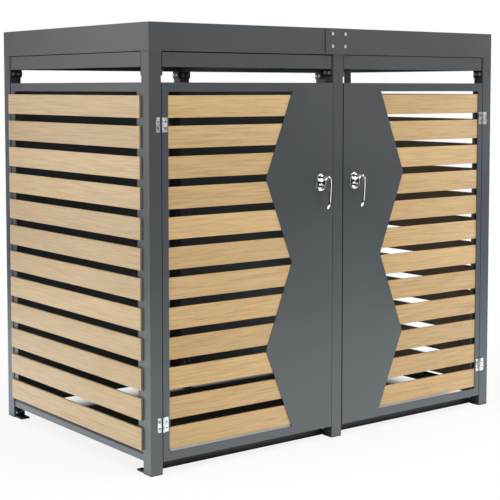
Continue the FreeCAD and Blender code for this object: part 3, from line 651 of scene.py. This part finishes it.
def fixings_tree():
    """A fixing on each point, along its facing, turned by a random angle."""
    tree, given = geometry_tree("Fixings", [
        ("Fixing", "Object", None), ("Seed", "Int", 0),
        ("Spin", "Float", 0.5), ("Material", "Material", None)])
    facing = new_node(tree, "GeometryNodeInputNamedAttribute", 1, 1, {"Name": "facing"},
                      data_type="FLOAT_VECTOR")
    aim = new_node(tree, "FunctionNodeAlignRotationToVector", 2, 1, {
        "Vector": facing[0]}, axis="Z")
    chance = new_node(tree, "FunctionNodeRandomValue", 2, 2, {
        3: given["Spin"], "Seed": given["Seed"]}, data_type="FLOAT")
    angle = new_node(tree, "ShaderNodeCombineXYZ", 3, 2, {"Z": chance[1]})
    spin = new_node(tree, "FunctionNodeRotateRotation", 3, 1, {
        0: aim[0], 1: angle[0]}, rotation_space="LOCAL")
    fixing = new_node(tree, "GeometryNodeObjectInfo", 3, 0, {"Object": given["Fixing"]})
    copies = new_node(tree, "GeometryNodeInstanceOnPoints", 4, 0, {
        "Points": given["Geometry"], "Instance": fixing["Geometry"],
        "Rotation": spin[0]})
    finish_tree(tree, copies[0], given["Material"])


def finish_tree(tree, result, cover):
    """Ends a tree by making its copies real and giving them their material."""
    real = new_node(tree, "GeometryNodeRealizeInstances", 6, 0, {0: result})
    covered = new_node(tree, "GeometryNodeSetMaterial", 7, 0, {
        "Geometry": real[0], "Material": cover})
    new_node(tree, "NodeGroupOutput", 8, 0, {"Geometry": covered[0]})


def grown(name, base, tree, values):
    """The plain mesh that a tree makes of a base object, which is removed."""
    modifier = base.modifiers.new("Tree", "NODES")
    modifier.node_group = bpy.data.node_groups[tree]
    for item in modifier.node_group.interface.items_tree:
        if item.in_out == "INPUT" and item.name in values:
            modifier[item.identifier] = values[item.name]
    base.update_tag()
    bpy.context.view_layer.update()
    seen = base.evaluated_get(bpy.context.evaluated_depsgraph_get())
    mesh = bpy.data.meshes.new_from_object(seen)
    mesh.name = name
    base.modifiers.clear()
    bpy.data.objects.remove(base, do_unlink=True)
    if not mesh.polygons:
        raise RuntimeError(name + " came out empty")
    return linked(name, mesh)


def fixing_spots(node):
    """Seat and facing of each head in a node. Heads face away from the post they are nearest."""
    posts = [middle_of(other).xy for other in frame["nodes"] if other.startswith("post_")]
    spots = []
    for low, high in solids_of(node):
        size = high - low
        axis = min(range(3), key=lambda k: size[k])
        middle = (low + high) / 2
        post = min(posts, key=lambda line: (line - middle.xy).length)
        toward = 1 if middle[axis] > post[axis] else -1
        facing = Vector((0, 0, 0))
        facing[axis] = toward
        place = middle.copy()
        place[axis] = low[axis] if toward > 0 else high[axis]
        spots.append((place, facing))
    return spots


# Fixing shapes
def hexagon_bolt(radius, height, washer, thick):
    """A hexagon head on a washer, its seat at nought and its head along +Z."""
    shape = turned([(0, 0), (washer, 0), (washer, thick * 0.8), (washer * 0.95, thick),
                    (0, thick)], 24)
    rings = []
    for inset, level in ((0.0, thick * 0.5), (0.0, height * 0.86), (radius * 0.12, height)):
        rings.append([(x, y, level) for x, y in circle(6, radius - inset)])
    stacked(rings, shape)
    return mesh_object("bolt_pattern", shape)


def rivet(radius, height):
    """A domed rivet with a round dimple, its seat at nought and its head along +Z."""
    profile = [(0, height * 0.35), (radius * 0.36, height * 0.35), (radius * 0.36, height),
               (radius * 0.55, height * 0.97), (radius * 0.8, height * 0.72),
               (radius * 0.96, height * 0.3), (radius, 0.0), (0, 0.0)]
    return mesh_object("rivet_pattern", turned(profile, 20))


def place_fixings(name, pattern, spots, cover, node=None, body=None):
    """A fixing on each spot (place, facing) as one piece, which uses the pattern up."""
    mesh = bpy.data.meshes.new(name + "_points")
    mesh.from_pydata([tuple(place) for place, facing in spots], [], [])
    facings = mesh.attributes.new("facing", "FLOAT_VECTOR", "POINT")
    for number, (place, facing) in enumerate(spots):
        facings.data[number].vector = facing
    points = linked(mesh.name, mesh)
    made = grown(name, points, "Fixings", {
        "Fixing": pattern, "Seed": bpy.context.scene.store_finish.seed, "Spin": math.pi / 3,
        "Material": material(cover)})
    bpy.data.objects.remove(pattern, do_unlink=True)
    settle(made, cover, node, body)


# Operators
class StorePiece(bpy.types.Operator):
    """Shared by the store's pieces"""

    bl_options = {"REGISTER", "UNDO"}

    @property
    def sizes(self):
        """The sizes of the details."""
        return bpy.context.scene.store_sizes


class STORE_OT_finishes(StorePiece):
    """Make the node groups and materials that the pieces use"""

    bl_idname = "store.finishes"
    bl_label = "Finishes"

    def execute(self, context):
        make_materials()
        board_row_tree()
        fixings_tree()
        return {"FINISHED"}


class STORE_OT_steelwork(StorePiece):
    """Posts and top rails with the rounded corners of drawn tube"""

    bl_idname = "store.steelwork"
    bl_label = "Posts and Rails"

    def execute(self, context):
        for node in sorted(frame["nodes"]):
            if node.startswith("post_"):
                dress(node, "Frame Paint", self.sizes.post_edge, 3)
            if node.startswith("top_rail_"):
                gap = self.sizes.rail_gap * (2 if node == "top_rail_front_left" else 1)
                dress(node, "Frame Paint", self.sizes.post_edge, 3, (2, 1, gap))
        return {"FINISHED"}


class STORE_OT_roof(StorePiece):
    """Roof halves with folded edges, and the cover plates over their joint"""

    bl_idname = "store.roof"
    bl_label = "Roof"

    def execute(self, context):
        for node in ("roof_left", "roof_right"):
            dress(node, "Frame Paint", self.sizes.roof_edge, 3)
        for node in ("roof_joint_plate_front", "roof_joint_plate_back"):
            dress(node, "Frame Paint", self.sizes.plate_edge)
        pattern = hexagon_bolt(*SCREW_HEAD, self.sizes.screw_washer, self.sizes.washer_thick)
        place_fixings("roof_screws_finished", pattern, fixing_spots("roof_joint_screws"),
                      "Bright Zinc", "roof_joint_screws")
        return {"FINISHED"}


class STORE_OT_sheets(StorePiece):
    """Folded sheets: door faces, back panels, side frames and what is fixed to them"""

    bl_idname = "store.sheets"
    bl_label = "Sheets and Frames"

    def execute(self, context):
        for node, seam in (("left_door_face", (0, 1, -self.sizes.seam_shift)),
                           ("right_door_face", (0, -1, self.sizes.seam_shift * 2)),
                           ("back_panel_left", None), ("back_panel_right", None),
                           ("side_frame_left", None), ("side_frame_right", None)):
            paint = "Side Frame Paint" if node.startswith("side_frame") else "Frame Paint"
            dress(node, paint, self.sizes.fold_edge, trim=seam)
        for node in ("back_tie_plate", "left_door_battens", "right_door_battens"):
            dress(node, "Frame Paint", self.sizes.plate_edge)
        for node in ("rail_end_plates", "foot_brackets", "sill_left", "sill_right", "door_stop"):
            dress(node, "Bracket Paint", self.sizes.plate_edge)
        return {"FINISHED"}


class STORE_OT_slats(StorePiece):
    """Rows of boards with rounded edges in the doors and sides"""

    bl_idname = "store.slats"
    bl_label = "Slats"

    def execute(self, context):
        seed = context.scene.store_finish.seed
        rows = (("left_door_slats", 0, "Door Boards"), ("right_door_slats", 0, "Door Boards"),
                ("side_slats_left", 1, "Side Boards"), ("side_slats_right", 1, "Side Boards"))
        for number, (node, axis, cover) in enumerate(rows):
            solids = sorted(solids_of(node), key=lambda item: -item[0].z)
            board = self.board(node, *solids[0], axis)
            row = grown(node + "_boards", board, "Board Row", {
                "Count": len(solids), "Pitch": solids[0][0].z - solids[1][0].z,
                "Seed": seed + number, "Material": material(cover)})
            settle(row, cover, node)
        return {"FINISHED"}

    def board(self, name, low, high, axis):
        """A board in its place, with its long edges rounder than its cut ends."""
        shape = bmesh.new()
        bmesh.ops.create_cube(shape, size=1.0)
        size = high - low
        middle = (low + high) / 2
        for vert in shape.verts:
            vert.co = Vector([middle[k] + vert.co[k] * size[k] for k in range(3)])
        long_edges = []
        for edge in shape.edges:
            run = edge.verts[1].co - edge.verts[0].co
            if abs(run[axis]) > 0.5 * size[axis]:
                long_edges.append(edge)
        bmesh.ops.bevel(shape, geom=long_edges, offset=self.sizes.slat_edge, segments=4,
                        profile=0.5, affect="EDGES")
        ends = [edge for edge in shape.edges
                if len(edge.link_faces) == 2 and edge.calc_face_angle(0) > math.radians(60)]
        bmesh.ops.bevel(shape, geom=ends, offset=self.sizes.slat_end, segments=2,
                        profile=0.5, affect="EDGES", clamp_overlap=True)
        cut = shape.faces.layers.float.new("cut")
        across = 1 - axis
        for face in shape.faces:
            inward = face.normal[across] * middle[across] < 0 and abs(face.normal[across]) > 0.8
            if abs(face.normal[axis]) > 0.8:
                face[cut] = 1.0
            # Painted shade: the side boards' faces turned into the store are darkened.
            elif inward and axis == 1:
                face[cut] = BOARD_BACK_SHADE
        return mesh_object(name + "_board", shape)


class STORE_OT_bolts(StorePiece):
    """Hexagon bolts with washers on plates, panels and feet"""

    bl_idname = "store.bolts"
    bl_label = "Bolts"

    def execute(self, context):
        for node in ("rail_end_bolts", "panel_bolts", "foot_bolts"):
            pattern = hexagon_bolt(*BOLT_HEAD, self.sizes.washer, self.sizes.washer_thick)
            place_fixings(node + "_finished", pattern, fixing_spots(node), "Bolt Finish", node)
        return {"FINISHED"}


class STORE_OT_hinges(StorePiece):
    """Butt hinges with eased edges, rivets and pins"""

    bl_idname = "store.hinges"
    bl_label = "Hinges"

    def execute(self, context):
        for node in ("hinge_post_leaves_left", "hinge_post_leaves_right",
                     "left_hinge_leaves", "right_hinge_leaves", "hinge_pins"):
            dress(node, "Hinge Zinc", self.sizes.plate_edge * 0.5)
        for place, sign in (("left", -1), ("right", 1)):
            self.rivets("hinge_post_leaves_" + place, sign, place + "_post_hinge_rivets", "frame")
            self.rivets(place + "_hinge_leaves", -sign, place + "_door_hinge_rivets",
                        place + "_door")
        return {"FINISHED"}

    def rivets(self, node, sign, name, body):
        """Two rivets in each leaf of a node, near the edge on that side."""
        spots = []
        for low, high in solids_of(node):
            outer = high.x if sign > 0 else low.x
            across = outer - sign * RIVET_INSET
            for share in RIVET_LEVELS:
                level = low.z + (high.z - low.z) * share
                spots.append((Vector((across, high.y - self.sizes.leaf, level)), Vector((0, -1, 0))))
        pattern = rivet(self.sizes.rivet, RIVET_RISE)
        place_fixings(name, pattern, spots, "Hinge Rivets", body=body)


class STORE_OT_locks(StorePiece):
    """Oval roses, key barrels, levers and the cams behind the doors"""

    bl_idname = "store.locks"
    bl_label = "Locks"

    def execute(self, context):
        for place in ("left", "right"):
            self.rose(place + "_rose")
            self.lever(place + "_lever")
            for node, cover, edge in (("_lock_barrel", "Lock Chrome", 0.0006),
                                      ("_key_plug", "Key Plug", 0.0002),
                                      ("_spindle", "Bright Zinc", 0.0004),
                                      ("_cam", "Bright Zinc", 0.0006)):
                dress(place + node, cover, edge)
        return {"FINISHED"}

    def rose(self, node):
        """An oval plate with a dome under the lever and another round the key barrel."""
        low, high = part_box(node)
        middle = middle_of(node)
        half = (high.x - low.x) / 2
        straight = (high.z - low.z) / 2 - half
        deep = high.y - low.y
        rings = []
        for inset, rise in ROSE_PLATE:
            rings.append([(middle.x + x, high.y - deep * rise,
                           middle.z + z + math.copysign(straight, z))
                          for x, z in circle(64, half * (1 - inset), 0.5)])
        shape = stacked(rings)
        for other, wide in (("spindle", self.sizes.rose_dome), ("lock_barrel", self.sizes.key_dome)):
            up = middle_of(node.replace("rose", other)).z
            profile = [(0, deep * 0.1)]
            for step in range(9):
                angle = math.radians(90 * step / 8)
                profile.append((wide * math.cos(angle), deep * (0.2 + 0.8 * math.sin(angle))))
            profile[-1] = (0, deep)
            turned(profile, 44, shape, self.facing_front(middle.x, high.y, up))
        piece = mesh_object(node + "_dome", shape)
        settle(piece, "Lock Chrome", node)

    def facing_front(self, across, along, level):
        """Moves a turned shape to a place, with its top towards the front."""
        return Matrix.Translation((across, along, level)) @ Matrix.Rotation(
            math.radians(90), 4, "X")

    def lever_path(self, low, back, axis_z):
        """The bar's way in steps of (distance along Y, level, lean in degrees, share of the way).

        An arm climbs from the boss, a bend turns it down, and it hangs straight to its hook.
        """
        sizes = self.sizes
        out = low.y + sizes.lever_thick / 2
        root = back - LEVER_ROOT
        top = axis_z + sizes.lever_rise
        fall = top - LEVER_BEND - low.z - LEVER_FOOT
        steps = []
        for part in range(6):
            share = part / 5
            ease = share * share * (3 - 2 * share)
            steps.append((root - (root - out - LEVER_BEND) * share,
                          axis_z + sizes.lever_rise * ease, 0.0, share * ARM_END))
        for part in range(1, 10):
            share = part / 9
            angle = math.radians(90 * share)
            steps.append((out + LEVER_BEND * (1 - math.sin(angle)),
                          top - LEVER_BEND * (1 - math.cos(angle)), 90 * share,
                          ARM_END + (BEND_END - ARM_END) * share))
        for part in range(1, 13):
            share = part / 12
            hooked = max(0.0, (share - HOOK_START) / (1 - HOOK_START))
            steps.append((out + sizes.lever_lean * hooked ** 2, top - LEVER_BEND - fall * share,
                          90 + HOOK_TURN * hooked, BEND_END + (1 - BEND_END) * share))
        return steps

    def lever(self, node):
        """A cast lever: a turned boss, and a bar that bends down, hangs straight and hooks."""
        sizes = self.sizes
        low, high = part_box(node)
        axis = middle_of(node.replace("lever", "spindle"))
        shape = turned(BOSS, 36, matrix=self.facing_front(axis.x, high.y + BOSS[0][1], axis.z))
        steps = self.lever_path(low, high.y, axis.z)
        rings = []
        last = len(steps) - 1
        neck = sizes.lever_neck
        for number, (along, level, lean, share) in enumerate(steps):
            squash = {last: 0.45, last - 1: 0.94}.get(number, 1.0)
            width = (neck + (sizes.lever_width - neck) * share ** 1.2) * squash
            thick = (neck + (sizes.lever_thick - neck) * share) * squash
            hanging = max(0.0, (share - BEND_END) / (1 - BEND_END))
            across = axis.x + LEVER_SHIFT * min(1.0, share / SHIFT_END)
            across -= sizes.lever_return * hanging ** 2
            rings.append(self.section(across, along, level, math.radians(lean), width, thick))
        stacked(rings, shape)
        piece = mesh_object(node + "_cast", shape)
        settle(piece, "Lock Chrome", node)

    def section(self, across, along, level, angle, width, thick):
        """A soft-cornered section square to the bar, which leans by the angle."""
        ring = []
        for step in range(20):
            turn = 2 * math.pi * step / 20
            x = math.copysign(abs(math.cos(turn)) ** 0.9, math.cos(turn)) * width / 2
            y = math.copysign(abs(math.sin(turn)) ** 0.9, math.sin(turn)) * thick / 2
            ring.append((across + x, along - y * math.sin(angle), level + y * math.cos(angle)))
        return ring


class STORE_OT_stage(StorePiece):
    """Pale floor, soft lamps and the camera"""

    bl_idname = "store.stage"
    bl_label = "Stage"

    def execute(self, context):
        scene = context.scene
        stage = scene.store_stage
        self.floor(stage)
        self.world(scene, stage)
        for lamp in LAMPS:
            self.lamp(*lamp)
        self.camera(scene, stage)
        scene.view_settings.view_transform = "Standard"
        return {"FINISHED"}

    def camera(self, scene, stage):
        """The camera in front of the store's left corner."""
        camera = bpy.data.cameras.new("Camera")
        camera.lens = stage.lens
        camera.sensor_width = 36.0
        camera.shift_y = CAMERA_SHIFT
        camera.clip_end = 200.0
        seen = linked("Camera", camera)
        seen.location = CAMERA_PLACE
        seen.rotation_euler = (math.radians(90 - CAMERA_DOWN), 0.0, math.radians(-CAMERA_TURN))
        scene.camera = seen

    def floor(self, stage):
        """A floor that is lit near the store and plain white to the camera farther out, with painted
        shade inside the store and a little back and to the right of it, and a painted reflection: it
        glows in reflections.
        """
        shape = bmesh.new()
        bmesh.ops.create_grid(shape, x_segments=1, y_segments=1, size=60.0)
        piece = mesh_object("floor", shape)
        tree = material_tree("Floor")
        parts = new_node(tree, "ShaderNodeSeparateXYZ", 0, 1, {0: object_place(tree)})

        def beyond(shift):
            """How far a point lies outside the footprint, moved back and to the right."""
            sides = []
            for row, axis in enumerate(("X", "Y")):
                moved = maths(tree, "SUBTRACT", 1, row, parts[axis], shift)
                moved = maths(tree, "ABSOLUTE", 2, row, moved)
                sides.append(maths(tree, "SUBTRACT", 3, row, moved, SOLIDS_BOX[1][row]))
            return maths(tree, "MAXIMUM", 4, 0, *sides)

        # Painted shade: inside the store and a little back and to the right of it, the floor's colour
        # is darker and the camera sees it without the white lift.
        away = beyond(0.0)
        outside = spread(tree, 4, 0, beyond(stage.shade_shift), -stage.shade_deep,
                         -stage.shade_edge)
        clear = spread(tree, 4, 4, away, -GLOW_UNDER, GLOW_FULL)
        tone = blend(tree, 5, 0, outside, solid_colour(stage.floor, stage.inner),
                     solid_colour(stage.floor))
        lit = new_node(tree, "ShaderNodeBsdfDiffuse", 6, 0, {"Color": tone})
        white = new_node(tree, "ShaderNodeEmission", 6, 1, {"Color": WHITE})
        rays = new_node(tree, "ShaderNodeLightPath", 4, 3)
        share = spread(tree, 4, 1, away, stage.near, stage.far, stage.lift, 1.0)
        share = maths(tree, "MULTIPLY", 5, 1, share, outside)
        seen = maths(tree, "MULTIPLY", 6, 2, rays["Is Camera Ray"], share)
        both = either_shader(tree, 7, 0, seen, lit[0], white[0])
        # Painted reflection: glossy rays see the floor glow, bright near the store and fading far
        # out.
        strength = spread(tree, 4, 2, away, stage.glow_near, stage.glow_far, stage.glow, GLOW_END)
        strength = maths(tree, "MULTIPLY", 5, 2, strength, clear)
        glow = new_node(tree, "ShaderNodeEmission", 6, 3, {
            "Color": GLOW_TINT, "Strength": strength})
        whole = either_shader(tree, 7, 1, rays["Is Glossy Ray"], both, glow[0])
        new_node(tree, "ShaderNodeOutputMaterial", 8, 0, {"Surface": whole})
        paint_with(piece, "Floor")

    def world(self, scene, stage):
        """White to the camera, and a dim cool grey to everything else."""
        scene.world = bpy.data.worlds.new("Studio")
        scene.world.use_nodes = True
        tree = scene.world.node_tree
        tree.nodes.clear()
        seen = new_node(tree, "ShaderNodeBackground", 2, 0, {"Color": WHITE})
        lit = new_node(tree, "ShaderNodeBackground", 2, 1, {
            "Color": SKY_TINT, "Strength": stage.sky})
        rays = new_node(tree, "ShaderNodeLightPath", 0, 0)
        direct = maths(tree, "MAXIMUM", 1, 0, rays["Is Camera Ray"], rays["Is Transmission Ray"])
        either = either_shader(tree, 3, 0, direct, lit[0], seen[0])
        new_node(tree, "ShaderNodeOutputWorld", 4, 0, {"Surface": either})

    def lamp(self, name, place, size, power, mirrored):
        """A square soft lamp that looks at the middle of the store."""
        data = bpy.data.lights.new(name, "AREA")
        data.shape = "SQUARE"
        data.size = size
        data.energy = power
        made = linked(name, data)
        made.visible_glossy = mirrored
        made.location = place
        aim = LAMP_TARGET - Vector(place)
        made.rotation_euler = aim.to_track_quat("-Z", "Y").to_euler()


SETTINGS = (("store_sizes", StoreSizes), ("store_finish", StoreFinish), ("store_stage", StoreStage))
PIECES = (STORE_OT_finishes, STORE_OT_steelwork, STORE_OT_roof, STORE_OT_sheets, STORE_OT_slats,
          STORE_OT_bolts, STORE_OT_hinges, STORE_OT_locks, STORE_OT_stage)


class STORE_PT_panel(bpy.types.Panel):
    """Lists the store's sizes, finishes and pieces"""

    bl_idname = "STORE_PT_panel"
    bl_label = "Bin Store"
    bl_space_type = "VIEW_3D"
    bl_region_type = "UI"
    bl_category = "Bin Store"

    def draw(self, context):
        for name, kind in SETTINGS:
            group = getattr(context.scene, name)
            box = self.layout.box()
            for key in group.__annotations__:
                box.prop(group, key)
        for piece in PIECES:
            self.layout.operator(piece.bl_idname)


CLASSES = (StoreSizes, StoreFinish, StoreStage) + PIECES + (STORE_PT_panel,)


def register():
    for kind in CLASSES:
        bpy.utils.register_class(kind)
    for name, kind in SETTINGS:
        setattr(bpy.types.Scene, name, PointerProperty(type=kind))


def unregister():
    for name, kind in SETTINGS:
        delattr(bpy.types.Scene, name)
    for kind in reversed(CLASSES):
        bpy.utils.unregister_class(kind)


def main():
    register()
    bpy.ops.store.finishes()
    bpy.ops.store.steelwork()
    bpy.ops.store.roof()
    bpy.ops.store.sheets()
    bpy.ops.store.slats()
    bpy.ops.store.bolts()
    bpy.ops.store.hinges()
    bpy.ops.store.locks()
    bpy.ops.store.stage()


if __name__ == "__main__":
    main()
